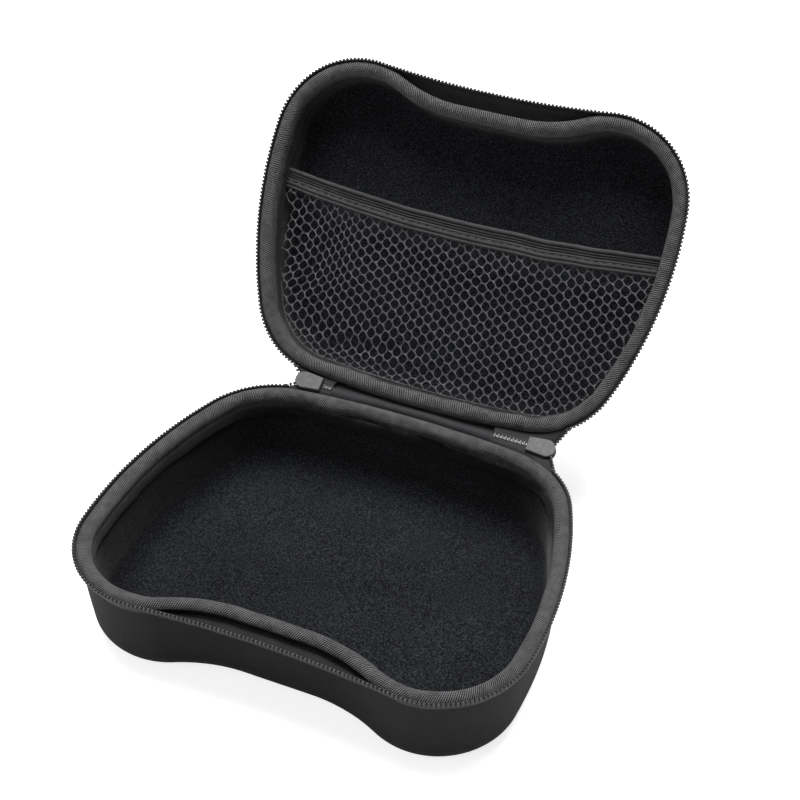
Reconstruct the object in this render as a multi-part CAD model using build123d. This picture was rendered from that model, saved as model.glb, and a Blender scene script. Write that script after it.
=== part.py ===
from build123d import *
from math import atan2, cos, degrees, hypot, radians, sin, sqrt, tan
import os

# A moulded, zipped carrying case with a kidney plan: straight back, flared sides,
# two round front lobes and a waist between them. Lengths are in millimetres.
# X runs along the hinge, +Y points to the hinge and +Z up. The origin lies on the
# underside of the base, below the middle of the rim. The lid is modelled open.

# Rim plan, measured along the outer edge of the binding
rim_length = 135.2
lobe_spread = 109.8
lobe_radius = 35.0
corner_spread = 90.0
corner_radius = 36.0
side_radius = 168.0
back_crown = 1.8
waist_dip = 9.3
waist_flat = 27.0

# Depth of each half, from the plane where the closed halves meet to the outside of its floor
base_depth = 42.0
lid_depth = 27.0
open_angle = 127.0
closed_gap = 0.4

# Moulded shells and their lining
wall = 3.2
base_floor = 5.2
lid_floor = 2.8
lining_thickness = 0.8
wall_draft = 3.5
bottom_radius = 11.0

# Ribbon folded over the rim
binding_crown = 3.2
binding_leg = 0.9
binding_leg_drop = 2.6
flap_thickness = 0.8
flap_drop = 8.0
bead_round = 2.4

# Zip tape: a ledge below the binding and a band that stands outside it
zip_reach = 1.3
zip_dip = 3.0
tape_thickness = 0.5
ledge_drop = 5.6

# Zip teeth, each seated on the outside of the band
tooth_pitch = 1.62
tooth_width = 1.05
tooth_reach = 0.8
tooth_height = 3.0
tooth_head = 1.4
tooth_top = 0.5
tooth_seat = 0.02

# Hinge strip and its axis
hinge_reach = 2.7
hinge_drop = 0.6
hinge_half_width = 36.5
strip_thickness = 0.7
strip_gap = 0.1
strip_top = 2.8
strip_drop = 9.5
fold_radius = 1.2

# Closed stretch of chain at each end of the hinge strip
chain_width = 4.8
chain_slit = 1.4
chain_tape = 0.5
chain_tooth_across = 1.25
chain_tooth_height = 1.5
chain_gap = 0.2

# Sliders, their tunnel and their pulls
slider_length = 12.0
slider_mouth_width = 7.6
slider_tail_width = 6.0
slider_tunnel = 2.2
slider_plate = 1.1
slider_flange = 0.7
slider_flange_gap = 1.1
post_length = 3.4
post_width = 0.9
post_inset = 0.8
left_slider_x = -47.4
right_slider_x = 57.6
slider_to_teeth = 1.4

# Bail over each slider's outer plate, and the pull that hangs from it
bail_radius = 0.7
bail_gap = 1.6
bail_length = 6.4
pull_eye_gap = 0.35
pull_eye_wall = 0.9
pull_length = 15.0
pull_tip_width = 7.0
pull_neck_width = 3.9
pull_thickness = 1.5
pull_hole_radius = 1.2

# Pocket in the lid
net_depth = 10.0
net_thickness = 0.9
net_mesh = 10.6
net_cord = 1.8
net_border = 2.2
elastic_width = 9.0
elastic_thickness = 1.6
elastic_front = -12.3
elastic_bow = 5.7
pocket_clearance = 0.3
net_row_y = 32.0

# How far a cutting solid runs past what it cuts
cut_margin = 1.0

mate_z = base_depth
half_length = rim_length / 2
lobe_centre = (lobe_spread / 2, lobe_radius - half_length)
corner_centre = (corner_spread / 2, half_length - back_crown - corner_radius)
back_y = half_length
hinge_y = back_y + hinge_reach
hinge_z = mate_z - hinge_drop
wall_inset = binding_leg
shell_top = closed_gap / 2 + binding_crown
bead_width = wall_inset + wall + lining_thickness + flap_thickness
leg_bottom = shell_top + binding_leg_drop
flap_bottom = shell_top + flap_drop
zip_left = left_slider_x - slider_length / 2 - slider_to_teeth
zip_right = right_slider_x + slider_length / 2 + slider_to_teeth
pocket_half = lobe_centre[0] + lobe_radius + zip_reach
bail_height = slider_tunnel / 2 + slider_plate + bail_gap + bail_radius


def on_circle(centre, radius, angle):
    return (centre[0] + radius * cos(angle), centre[1] + radius * sin(angle))


def arc(centre, radius, start, end):
    middle = (start + end) / 2
    return ThreePointArc(
        on_circle(centre, radius, start),
        on_circle(centre, radius, middle),
        on_circle(centre, radius, end),
    )


def heading(origin, target):
    return atan2(target[1] - origin[1], target[0] - origin[0])


def back_arc_centre():
    drop = back_crown + corner_radius
    radius = (corner_centre[0] ** 2 + drop**2 - corner_radius**2) / (2 * back_crown)
    return (0.0, back_y - radius), radius


def side_arc_centre():
    # The side arc touches the corner arc and the lobe arc from outside
    across = lobe_centre[0] - corner_centre[0]
    along = lobe_centre[1] - corner_centre[1]
    span = hypot(across, along)
    to_corner = side_radius - corner_radius
    to_lobe = side_radius - lobe_radius
    share = (to_corner**2 - to_lobe**2 + span**2) / (2 * span)
    rise = sqrt(to_corner**2 - share**2)
    unit = (across / span, along / span)
    return (
        corner_centre[0] + share * unit[0] + rise * unit[1],
        corner_centre[1] + share * unit[1] - rise * unit[0],
    )


def plan_face(grow=0.0, dip=waist_dip, flat=waist_flat):
    """Face inside the rim plan, moved outwards by grow."""
    back, back_radius = back_arc_centre()
    side = side_arc_centre()
    reach = lobe_centre[0] - flat / 2
    rise = lobe_radius - dip
    dip_radius = (reach**2 + rise**2 - lobe_radius**2) / (2 * dip)
    front_y = lobe_centre[1] - rise
    dip_centre = (flat / 2, front_y - dip_radius)
    turn_1 = heading(back, corner_centre)
    turn_2 = heading(side, corner_centre)
    turn_3 = heading(side, lobe_centre)
    turn_4 = heading(lobe_centre, dip_centre)
    right = [
        arc(corner_centre, corner_radius + grow, turn_1, turn_2),
        arc(side, side_radius + grow, turn_2, turn_3),
        arc(lobe_centre, lobe_radius + grow, turn_3, turn_4),
        arc(dip_centre, dip_radius - grow, turn_4 + radians(180), radians(90)),
    ]
    left = [mirror(edge, Plane.YZ) for edge in reversed(right)]
    crown = [arc(back, back_radius + grow, radians(180) - turn_1, turn_1)]
    waist = []
    if flat > 0:
        waist = [Line((flat / 2, front_y - grow), (-flat / 2, front_y - grow))]
    return make_face(crown + right + waist + left)


def block(inset, top, bottom, rounding=0.0):
    """Solid inside the wall's drafted face, between two depths below the meeting plane."""
    face = plan_face(-inset - top * tan(radians(wall_draft)))
    solid = extrude(Pos(0, 0, -top) * face, amount=bottom - top, dir=(0, 0, -1), taper=wall_draft)
    if rounding > 0:
        lowest = solid.faces().sort_by(Axis.Z)[0]
        solid = fillet(lowest.edges(), rounding)
    return solid


def prism(face, top, bottom):
    return extrude(Pos(0, 0, -bottom) * face, amount=bottom - top)


def ring(outer, inner, top, bottom):
    return block(outer, top, bottom) - block(inner, top - cut_margin, bottom + cut_margin)


def slab(left, right, top, bottom):
    """Box between two X positions and two depths, over the hinge side of the plan."""
    width = right - left
    return Pos((left + right) / 2, rim_length / 2, -(top + bottom) / 2) * Box(
        width, rim_length, bottom - top
    )


def make_shell(depth, floor):
    outside = block(wall_inset, shell_top, depth, bottom_radius)
    inside = block(wall_inset + wall, shell_top - cut_margin, depth - floor, bottom_radius - wall)
    return outside - inside


def make_lining(depth, floor):
    outside = block(wall_inset + wall, shell_top, depth - floor, bottom_radius - wall)
    inset = wall_inset + wall + lining_thickness
    bottom = depth - floor - lining_thickness
    inside = block(inset, shell_top - cut_margin, bottom, bottom_radius - wall - lining_thickness)
    return outside - inside


def make_binding():
    crown = ring(0, bead_width, closed_gap / 2, shell_top)
    top_edges = crown.faces().sort_by(Axis.Z)[-1].edges()
    crown = fillet(top_edges, bead_round)
    leg = ring(0, wall_inset, shell_top, leg_bottom)
    flap = ring(bead_width - flap_thickness, bead_width, shell_top, flap_bottom)
    return crown + leg + flap


def make_zip_tape():
    outline = plan_face(zip_reach, zip_dip, 0)
    band = prism(outline - plan_face(zip_reach - tape_thickness, zip_dip, 0), tooth_top, ledge_drop)
    ledge_top = ledge_drop - tape_thickness
    inside = block(0, ledge_top - cut_margin, ledge_drop + cut_margin)
    ledge = prism(outline, ledge_top, ledge_drop) - inside
    return band + ledge - slab(zip_left, zip_right, 0, ledge_drop + cut_margin)


def make_tooth():
    """Tooth at the origin: its back lies on the band, +Y points out of the case."""
    profile = Polyline(
        (0, 0, -tooth_top),
        (0, tooth_reach, -tooth_top),
        (0, tooth_reach, -tooth_top - tooth_head),
        (0, 0, -tooth_top - tooth_height),
        close=True,
    )
    return extrude(make_face(profile), amount=tooth_width / 2, dir=(1, 0, 0), both=True)


def make_zip_teeth():
    path = plan_face(zip_reach + tooth_seat, zip_dip, 0).face().outer_wire()
    count = round(path.length / tooth_pitch)
    tooth = make_tooth()
    teeth = []
    for index in range(count):
        place = path.position_at(index / count)
        along = path.tangent_at(index / count)
        if place.Y > 0 and zip_left < place.X < zip_right:
            continue
        outward = Vector(along.Y, -along.X, 0)
        if outward.dot(place) < 0:
            outward = -outward
        turn = Plane(place, x_dir=outward.cross(Vector(0, 0, 1)), z_dir=(0, 0, 1))
        teeth.append(turn.location * tooth)
    return Compound(teeth)


def lid_pocket_plan(inset):
    """Plan of the lid's inside at the net's depth."""
    return plan_face(-inset - net_depth * tan(radians(wall_draft)))


def bowed_region(front_y):
    """Everything on the hinge side of a bowed line across the lid."""
    half = rim_length
    line = ThreePointArc(
        (-pocket_half, front_y - elastic_bow),
        (0, front_y),
        (pocket_half, front_y - elastic_bow),
    )
    sides = Polyline(
        (pocket_half, front_y - elastic_bow),
        (pocket_half, half),
        (-pocket_half, half),
        (-pocket_half, front_y - elastic_bow),
    )
    return make_face([line, sides])


def make_elastic():
    band = bowed_region(elastic_front) - bowed_region(elastic_front + elastic_width)
    face = lid_pocket_plan(bead_width + pocket_clearance) & band
    top = net_depth - elastic_thickness / 2
    return prism(face, top, top + elastic_thickness)


def make_net():
    edge = lid_pocket_plan(bead_width + pocket_clearance)
    face = edge & bowed_region(elastic_front + elastic_width)
    field = lid_pocket_plan(bead_width + pocket_clearance + net_border + net_mesh / 2)
    field = field & bowed_region(elastic_front + elastic_width + net_border + net_mesh / 2)
    row_step = net_mesh * sqrt(3) / 2
    rows = int(rim_length / row_step)
    columns = int(pocket_half / net_mesh) + 1
    gap = RegularPolygon((net_mesh - net_cord) / 2, 6, major_radius=False)
    holes = []
    for row in range(-rows, rows + 1):
        shift = net_mesh / 2 if row % 2 else 0
        for column in range(-columns, columns + 1):
            spot = (column * net_mesh + shift, net_row_y + row * row_step)
            if field.is_inside((spot[0], spot[1], 0)):
                holes.append(Pos(*spot) * gap)
    return prism(face - holes, net_depth - net_thickness / 2, net_depth + net_thickness / 2)


def make_strip_leaf():
    """One leaf of the hinge strip, from the wall up to the fold, bowed with the back."""
    leaf = ring(-strip_gap - strip_thickness, -strip_gap, strip_top, strip_drop)
    leaf = leaf & slab(-hinge_half_width, hinge_half_width, 0, base_depth)
    centre, radius = back_arc_centre()
    lean = strip_gap + strip_thickness
    slope = Polyline(
        (0, back_y + strip_gap, -strip_top - strip_thickness),
        (0, back_y + lean, -strip_top - strip_thickness),
        (0, hinge_y + strip_thickness / 2, -hinge_drop - strip_thickness / 2),
        (0, hinge_y - strip_thickness / 2, -hinge_drop + strip_thickness / 2),
        close=True,
    )
    sweep_angle = degrees(2 * atan2(hinge_half_width, radius))
    band = revolve(make_face(slope), Axis(centre, (0, 0, 1)), revolution_arc=sweep_angle)
    band = band.rotate(Axis(centre, (0, 0, 1)), -sweep_angle / 2)
    return leaf + band


def make_hinge_panel():
    fold = Cylinder(fold_radius, 2 * hinge_half_width, rotation=(0, 90, 0))
    fold = Pos(0, hinge_y, hinge_z) * fold
    return place_base(make_strip_leaf()) + place_lid(make_strip_leaf()) + fold


def plate_face():
    """Slider plate seen along its thickness: the tail at -X, the round mouth at +X."""
    tail = slider_tail_width / 2
    mouth = slider_mouth_width / 2
    half = slider_length / 2
    shoulder = half - mouth
    edges = [
        Line((-half, tail), (-half, -tail)),
        Line((-half, -tail), (shoulder, -mouth)),
        ThreePointArc((shoulder, -mouth), (half, 0), (shoulder, mouth)),
        Line((shoulder, mouth), (-half, tail)),
    ]
    return make_face(edges)


def make_slider():
    """Slider round the chain's middle: chain along X, outer plate at +Z, mouth at +X."""
    tunnel_half = slider_tunnel / 2
    half = slider_length / 2
    face = plate_face()
    plate = extrude(face, amount=slider_plate)
    plate = fillet(plate.faces().sort_by(Axis.Z)[-1].edges(), slider_plate * 0.4)
    outer = Pos(0, 0, tunnel_half) * plate
    inner = mirror(outer, Plane.XY)
    rail_face = face - offset(face, -slider_flange)
    rail_length = 2 * half - slider_mouth_width / 2
    rail_zone = Rectangle(rail_length, 2 * slider_mouth_width)
    rail_face = rail_face & Pos(-half + rail_length / 2, 0) * rail_zone
    tail_gap = Pos(-half, 0) * Rectangle(
        2 * slider_flange + cut_margin, slider_tail_width - 2 * slider_flange
    )
    rail_face = rail_face - tail_gap
    rail_depth = tunnel_half - slider_flange_gap / 2
    rail = Pos(0, 0, slider_flange_gap / 2) * extrude(rail_face, amount=rail_depth)
    post = Pos(half - post_inset - post_length / 2, 0, 0) * Box(post_length, post_width, slider_tunnel)
    bar = Pos(0, 0, bail_height) * Cylinder(bail_radius, bail_length, rotation=(0, 90, 0))
    foot_height = bail_height - tunnel_half - slider_plate / 2
    foot = Cylinder(bail_radius, foot_height, align=(Align.CENTER, Align.CENTER, Align.MAX))
    body = outer + inner + rail + mirror(rail, Plane.XY) + post + bar
    for side in (-1, 1):
        body = body + Pos(side * bail_length / 2, 0, bail_height) * foot
        body = body + Pos(side * bail_length / 2, 0, bail_height) * Sphere(bail_radius)
    return body


def make_pull():
    """Pull below its bail bar: a rolled eye round the bar, which runs along X, and a flat tab."""
    eye_inner = bail_radius + pull_eye_gap
    eye_outer = eye_inner + pull_eye_wall
    tip = pull_tip_width / 2
    neck = pull_neck_width / 2
    tip_z = -pull_length + tip
    edges = [
        Line((-neck, 0), (-tip, tip_z)),
        ThreePointArc((-tip, tip_z), (0, -pull_length), (tip, tip_z)),
        Line((tip, tip_z), (neck, 0)),
        Line((neck, 0), (-neck, 0)),
    ]
    outline = make_face(edges) - Pos(0, tip_z) * Circle(pull_hole_radius)
    tab = extrude(outline, amount=pull_thickness / 2, both=True)
    eye = Cylinder(eye_outer, pull_neck_width, rotation=(0, 90, 0))
    bore = Cylinder(eye_inner, pull_neck_width + cut_margin, rotation=(0, 90, 0))
    return Rot(90, 0, 0) * tab + eye - bore


def make_closed_teeth(length):
    """Two facing half chains along X from the origin, split for the slider's post."""
    inner = chain_slit / 2
    tape_width = chain_width / 2 - inner
    side = Pos(length / 2, inner + tape_width / 2, 0) * Box(length, tape_width, chain_tape)
    count = int((length - tooth_width) / tooth_pitch) + 1
    for index in range(count):
        x = tooth_width / 2 + index * tooth_pitch
        y = inner + chain_tooth_across / 2
        side = side + Pos(x, y, 0) * Box(tooth_width, chain_tooth_across, chain_tooth_height)
    return Compound([side, mirror(side, Plane.XZ)])


def place_base(shape):
    return Pos(0, 0, mate_z) * shape


def place_lid(shape):
    closed = Pos(0, 0, mate_z) * mirror(shape, Plane.XY)
    return closed.rotate(Axis((0, hinge_y, hinge_z), (1, 0, 0)), -open_angle)


def place_on_fold(shape, x, side):
    """Put a piece made along the chain on the fold, turned with half the lid's angle."""
    flipped = mirror(shape, Plane.YZ) if side < 0 else shape
    upright = Rot(-90, 0, 0) * flipped
    turned = upright.rotate(Axis.X, -open_angle / 2)
    return Pos(x, hinge_y, hinge_z) * turned


def bail_place(x):
    lean = radians(open_angle / 2)
    return Pos(x, hinge_y + bail_height * cos(lean), hinge_z - bail_height * sin(lean))


def main():
    os.makedirs("parts", exist_ok=True)
    stub_start = hinge_half_width + chain_gap
    parts = {
        "base_shell": place_base(make_shell(base_depth, base_floor)),
        "base_lining": place_base(make_lining(base_depth, base_floor)),
        "base_binding": place_base(make_binding()),
        "base_zip_tape": place_base(make_zip_tape()),
        "base_zip_teeth": place_base(make_zip_teeth()),
        "lid_shell": place_lid(make_shell(lid_depth, lid_floor)),
        "lid_lining": place_lid(make_lining(lid_depth, lid_floor)),
        "lid_binding": place_lid(make_binding()),
        "lid_zip_tape": place_lid(make_zip_tape()),
        "lid_zip_teeth": place_lid(make_zip_teeth()),
        "pocket_net": place_lid(make_net()),
        "pocket_elastic": place_lid(make_elastic()),
        "hinge_panel": make_hinge_panel(),
    }
    slider = make_slider()
    pull = make_pull()
    for name, x, side in (("left", left_slider_x, -1), ("right", right_slider_x, 1)):
        post_start = abs(x) + slider_length / 2 - post_inset - post_length
        stub = make_closed_teeth(post_start - chain_gap - stub_start)
        parts[name + "_closed_teeth"] = place_on_fold(stub, side * stub_start, side)
        parts[name + "_slider"] = place_on_fold(slider, x, side)
        parts[name + "_pull"] = bail_place(x) * pull
    for name, shape in parts.items():
        export_step(shape, "parts/" + name + ".step")


main()
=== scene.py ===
import bpy
import bmesh
from math import atan2, cos, hypot, pi, radians, sin, sqrt, tan
from mathutils import Matrix, Vector, noise


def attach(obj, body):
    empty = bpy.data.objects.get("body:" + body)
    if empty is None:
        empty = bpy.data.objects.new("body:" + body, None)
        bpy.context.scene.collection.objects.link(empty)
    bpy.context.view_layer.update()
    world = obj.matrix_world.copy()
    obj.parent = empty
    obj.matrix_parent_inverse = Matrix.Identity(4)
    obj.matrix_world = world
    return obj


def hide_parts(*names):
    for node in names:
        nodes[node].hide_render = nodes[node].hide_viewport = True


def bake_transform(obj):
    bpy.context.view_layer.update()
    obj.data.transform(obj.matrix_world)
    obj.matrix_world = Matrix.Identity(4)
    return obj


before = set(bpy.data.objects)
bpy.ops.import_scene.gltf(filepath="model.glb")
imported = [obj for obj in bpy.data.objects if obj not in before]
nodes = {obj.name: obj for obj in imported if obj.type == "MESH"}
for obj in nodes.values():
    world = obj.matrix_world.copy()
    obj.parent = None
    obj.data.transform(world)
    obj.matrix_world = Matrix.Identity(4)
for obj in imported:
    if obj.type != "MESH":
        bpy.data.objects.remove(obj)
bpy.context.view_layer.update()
print("frame loaded with", len(nodes), "nodes")

# lengths are in millimetres, depths are measured from the plane where the closed halves meet
caseForm = {
    "rimLength": 135.2, "lobeSpread": 109.8, "lobeRadius": 35.0,
    "cornerSpread": 90.0, "cornerRadius": 36.0, "sideRadius": 168.0,
    "backCrown": 1.8, "waistDip": 9.3, "waistFlat": 27.0, "zipDip": 3.0,
    "baseDepth": 42.0, "lidDepth": 27.0, "openAngle": 127.0, "draft": 3.5,
    "hingeReach": 2.7, "hingeDrop": 0.6, "zipLeft": -54.8, "zipRight": 65.0,
    "sliderLeft": -47.4, "sliderRight": 57.6,
}
# spots on each stretch of half the plan
planSteps = {"back": 22, "corner": 30, "side": 16, "lobe": 44, "waist": 40}

halfLength = caseForm["rimLength"] / 2
slope = tan(radians(caseForm["draft"]))
hingePoint = Vector((0, halfLength + caseForm["hingeReach"], caseForm["baseDepth"] - caseForm["hingeDrop"]))
lidTurn = Matrix.Rotation(radians(-caseForm["openAngle"]), 3, "X")


def inCase(half, x, y, depth):
    # a spot of the base or of the closed lid, as metres in the open case
    if half == "base":
        return Vector((x, y, caseForm["baseDepth"] - depth)) / 1000
    closed = Vector((x, y, caseForm["baseDepth"] + depth)) - hingePoint
    return (hingePoint + lidTurn @ closed) / 1000


def headingOf(start, end):
    return atan2(end[1] - start[1], end[0] - start[0])


def arcRun(centre, radius, start, end, count):
    run = []
    for step in range(count):
        angle = start + (end - start) * step / count
        out = Vector((cos(angle), sin(angle)))
        run.append((Vector(centre) + out * radius, out))
    return run


def planRun(dip, flat):
    # spots round the plan from the middle of the back by the right side, each with its way out of the case
    form = caseForm
    lobeRadius = form["lobeRadius"]
    lobe = (form["lobeSpread"] / 2, lobeRadius - halfLength)
    corner = (form["cornerSpread"] / 2, halfLength - form["backCrown"] - form["cornerRadius"])
    drop = form["backCrown"] + form["cornerRadius"]
    backRadius = (corner[0] ** 2 + drop ** 2 - form["cornerRadius"] ** 2) / (2 * form["backCrown"])
    back = (0.0, halfLength - backRadius)
    across, along = lobe[0] - corner[0], lobe[1] - corner[1]
    span = hypot(across, along)
    toCorner = form["sideRadius"] - form["cornerRadius"]
    toLobe = form["sideRadius"] - lobeRadius
    share = (toCorner ** 2 - toLobe ** 2 + span ** 2) / (2 * span)
    rise = sqrt(toCorner ** 2 - share ** 2)
    sideX = corner[0] + (share * across + rise * along) / span
    side = (sideX, corner[1] + (share * along - rise * across) / span)
    reach, up = lobe[0] - flat / 2, lobeRadius - dip
    dipRadius = (reach ** 2 + up ** 2 - lobeRadius ** 2) / (2 * dip)
    frontY = lobe[1] - up
    dipCentre = (flat / 2, frontY - dipRadius)
    turns = [headingOf(back, corner), headingOf(side, corner), headingOf(side, lobe)]
    waistTurn = headingOf(lobe, dipCentre)
    run = arcRun(back, backRadius, pi / 2, turns[0], planSteps["back"])
    run += arcRun(corner, form["cornerRadius"], turns[0], turns[1], planSteps["corner"])
    run += arcRun(side, form["sideRadius"], turns[1], turns[2], planSteps["side"])
    run += arcRun(lobe, lobeRadius, turns[2], waistTurn, planSteps["lobe"])
    arcLength = dipRadius * (pi / 2 - waistTurn - pi)
    for step in range(planSteps["waist"]):
        gone = (arcLength + flat / 2) * step / planSteps["waist"]
        if gone < arcLength:
            angle = waistTurn + pi + gone / dipRadius
            out = Vector((cos(angle), sin(angle)))
            run.append((Vector(dipCentre) + out * dipRadius, -out))
        else:
            run.append((Vector((flat / 2 - gone + arcLength, frontY)), Vector((0, -1))))
    mirrored = [(Vector((-p.x, p.y)), Vector((-n.x, n.y))) for p, n in reversed(run[1:])]
    return run + [(Vector((0, frontY)), Vector((0, -1)))] + mirrored


rimRun = planRun(caseForm["waistDip"], caseForm["waistFlat"])
zipRun = planRun(caseForm["zipDip"], 0.0)
stationCount = len(rimRun)


def lengthsOf(run):
    lengths = [0.0]
    for i in range(len(run)):
        lengths.append(lengths[-1] + (run[(i + 1) % len(run)][0] - run[i][0]).length)
    return lengths


rimLengths = lengthsOf(rimRun)
zipLengths = lengthsOf(zipRun)


def wobble(x, y, z, size):
    # smooth, repeatable unevenness between about -1 and 1, with spots in millimetres
    return noise.noise(Vector((x, y, z)) / size) * 1.6


def ease(value):
    # 0 up to 0 and 1 from 1 on, with a soft rise between
    share = max(0.0, min(1.0, value))
    return share * share * (3 - 2 * share)


def rising(value, zone):
    # from 0 at the zone's start to 1 after its length
    start, length = zone
    return ease((value - start) / length)


def falling(value, zone):
    # from 0 at the zone's start to 1 at its length before it
    start, length = zone
    return ease((start - value) / length)


def bentGrid(across, along, place, layOut):
    # a flat grid bent to shape, with its cloth laid out in millimetres
    bm = bmesh.new()
    uvLayer = bm.loops.layers.uv.new("UVMap")
    bmesh.ops.create_grid(bm, x_segments=across, y_segments=along, size=1)
    spots = {}
    for vert in bm.verts:
        spots[vert] = (round((vert.co.x + 1) * across / 2), round((vert.co.y + 1) * along / 2))
    for face in bm.faces:
        row = min(spots[vert][1] for vert in face.verts)
        for loop in face.loops:
            loop[uvLayer].uv = layOut(*spots[loop.vert], row)
    for vert, spot in spots.items():
        vert.co = place(*spot)
    bmesh.ops.remove_doubles(bm, verts=bm.verts, dist=1e-6)
    return bm


def faceTo(bm, spot):
    # turns the whole skin so that the face nearest to the spot looks at it
    bm.faces.ensure_lookup_table()
    bm.normal_update()
    nearest = min(bm.faces, key=lambda face: (face.calc_center_median() - spot).length_squared)
    if nearest.normal.dot(spot - nearest.calc_center_median()) < 0:
        bmesh.ops.reverse_faces(bm, faces=bm.faces)


def addPiece(name, bm, body, finish, replaced=(), smooth=True):
    mesh = bpy.data.meshes.new(name)
    bm.to_mesh(mesh)
    bm.free()
    if smooth:
        mesh.shade_smooth()
    piece = bpy.data.objects.new(name, mesh)
    bpy.context.scene.collection.objects.link(piece)
    mesh.materials.append(finish)
    if body:
        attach(piece, body)
    if replaced:
        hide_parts(*replaced)
    return piece


def thicken(piece, thickness, offset=-1.0, even=True):
    solidify = piece.modifiers.new("Thickness", "SOLIDIFY")
    solidify.thickness = thickness / 1000
    solidify.offset = offset
    solidify.use_even_offset = even


# finishes
def addNode(tree, kind, inputs=None, **settings):
    node = tree.nodes.new(kind)
    for key, value in settings.items():
        setattr(node, key, value)
    for key, value in (inputs or {}).items():
        if isinstance(value, bpy.types.NodeSocket):
            tree.links.new(value, node.inputs[key])
        else:
            node.inputs[key].default_value = value
    return node


def calc(tree, operation, first, second=0.0):
    return addNode(tree, "ShaderNodeMath", {0: first, 1: second}, operation=operation).outputs[0]


def weigh(tree, first, second, share):
    # the two added up, where the second one counts by its share
    rest = calc(tree, "MULTIPLY", first, 1.0 - share)
    return calc(tree, "ADD", rest, calc(tree, "MULTIPLY", second, share))


def grainOf(tree, scale, detail):
    coords = addNode(tree, "ShaderNodeTexCoord")
    inputs = {"Vector": coords.outputs["Object"], "Scale": scale, "Detail": detail}
    return addNode(tree, "ShaderNodeTexNoise", inputs).outputs["Fac"]


def newFinish(name, look):
    finish = bpy.data.materials.new(name)
    finish.use_nodes = True
    shader = finish.node_tree.nodes["Principled BSDF"]
    shader.inputs["Roughness"].default_value = look["roughness"]
    shader.inputs["Sheen Weight"].default_value = look.get("sheen", 0.0)
    shader.inputs["Sheen Roughness"].default_value = 0.4
    shader.inputs["Specular IOR Level"].default_value = look.get("specular", 0.3)
    return finish, finish.node_tree, shader


def setColour(tree, shader, level, look, places):
    # the look's three tones, at three places of the level
    node = addNode(tree, "ShaderNodeValToRGB", {"Fac": level})
    node.color_ramp.elements.new(0.5)
    for element, place, tone in zip(node.color_ramp.elements, places, ("dark", "middle", "light")):
        element.position = place
        element.color = (*look[tone], 1)
    tree.links.new(node.outputs["Color"], shader.inputs["Base Color"])


def setBump(tree, shader, height, look, strength=1.0):
    inputs = {"Height": height, "Distance": look["bump"] / 1000, "Strength": strength}
    tree.links.new(addNode(tree, "ShaderNodeBump", inputs).outputs["Normal"], shader.inputs["Normal"])


def setSkin(tree, shader, height, look, shade=None):
    # colour from low to high thread, mottled, and a bump as deep as the threads
    level = weigh(tree, height, grainOf(tree, look["mottleScale"], 3.0), 0.3)
    # a shade, where given, multiplies the colour level down: painted shade
    if shade:
        level = calc(tree, "MULTIPLY", level, shade)
    setColour(tree, shader, level, look, (0.15, 0.55, 0.85))
    setBump(tree, shader, height, look)


def clothCoords(tree):
    uv = addNode(tree, "ShaderNodeUVMap", uv_map="UVMap")
    parts = addNode(tree, "ShaderNodeSeparateXYZ", {0: uv.outputs[0]})
    return parts.outputs[0], parts.outputs[1]


def wave(tree, coordinate, pitch):
    return calc(tree, "SINE", calc(tree, "MULTIPLY", coordinate, pi / pitch))


def ridge(tree, coordinate, pitch):
    # 0 between threads and 1 on top of each
    return calc(tree, "ABSOLUTE", wave(tree, coordinate, pitch))


def weaveFinish(name, look):
    finish, tree, shader = newFinish(name, look)
    along, across = clothCoords(tree)
    first, second = wave(tree, along, look["pitch"]), wave(tree, across, look["pitch"])
    over = calc(tree, "GREATER_THAN", calc(tree, "MULTIPLY", first, second), 0.0)
    warp = calc(tree, "MULTIPLY", calc(tree, "ABSOLUTE", first), over)
    weft = calc(tree, "MULTIPLY", calc(tree, "ABSOLUTE", second), calc(tree, "SUBTRACT", 1.0, over))
    setSkin(tree, shader, calc(tree, "ADD", warp, weft), look)
    return finish


def ribbedFinish(name, look):
    finish, tree, shader = newFinish(name, look)
    along, across = clothCoords(tree)
    leaning = calc(tree, "ADD", along, calc(tree, "MULTIPLY", across, look["lean"]))
    ribs, threads = ridge(tree, leaning, look["pitch"]), ridge(tree, across, look["thread"])
    shade = None
    if "flapFrom" in look:
        # painted shade: the flap that lies on the lining is coloured darker, as it takes less light than the
        # fold over the rim
        inputs = {0: across, 1: look["flapFrom"], 2: look["flapTo"], 3: 1.0, 4: look["flapShade"]}
        shade = addNode(tree, "ShaderNodeMapRange", inputs).outputs[0]
    setSkin(tree, shader, weigh(tree, ribs, threads, look["threadShare"]), look, shade)
    return finish


def pileFinish(name, look):
    finish, tree, shader = newFinish(name, look)
    height = weigh(tree, grainOf(tree, look["tufts"], 2.0), grainOf(tree, look["fibres"], 1.0), 0.4)
    level = weigh(tree, height, grainOf(tree, look["nap"], 2.0), 0.07)
    setColour(tree, shader, level, look, (0.38, 0.5, 0.64))
    setBump(tree, shader, height, look)
    return finish


def hardFinish(name, look):
    finish, tree, shader = newFinish(name, look)
    grain = grainOf(tree, look["grain"], 3.0)
    setColour(tree, shader, grain, look, (0.3, 0.5, 0.7))
    setBump(tree, shader, grain, look, 0.6)
    return finish


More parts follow.
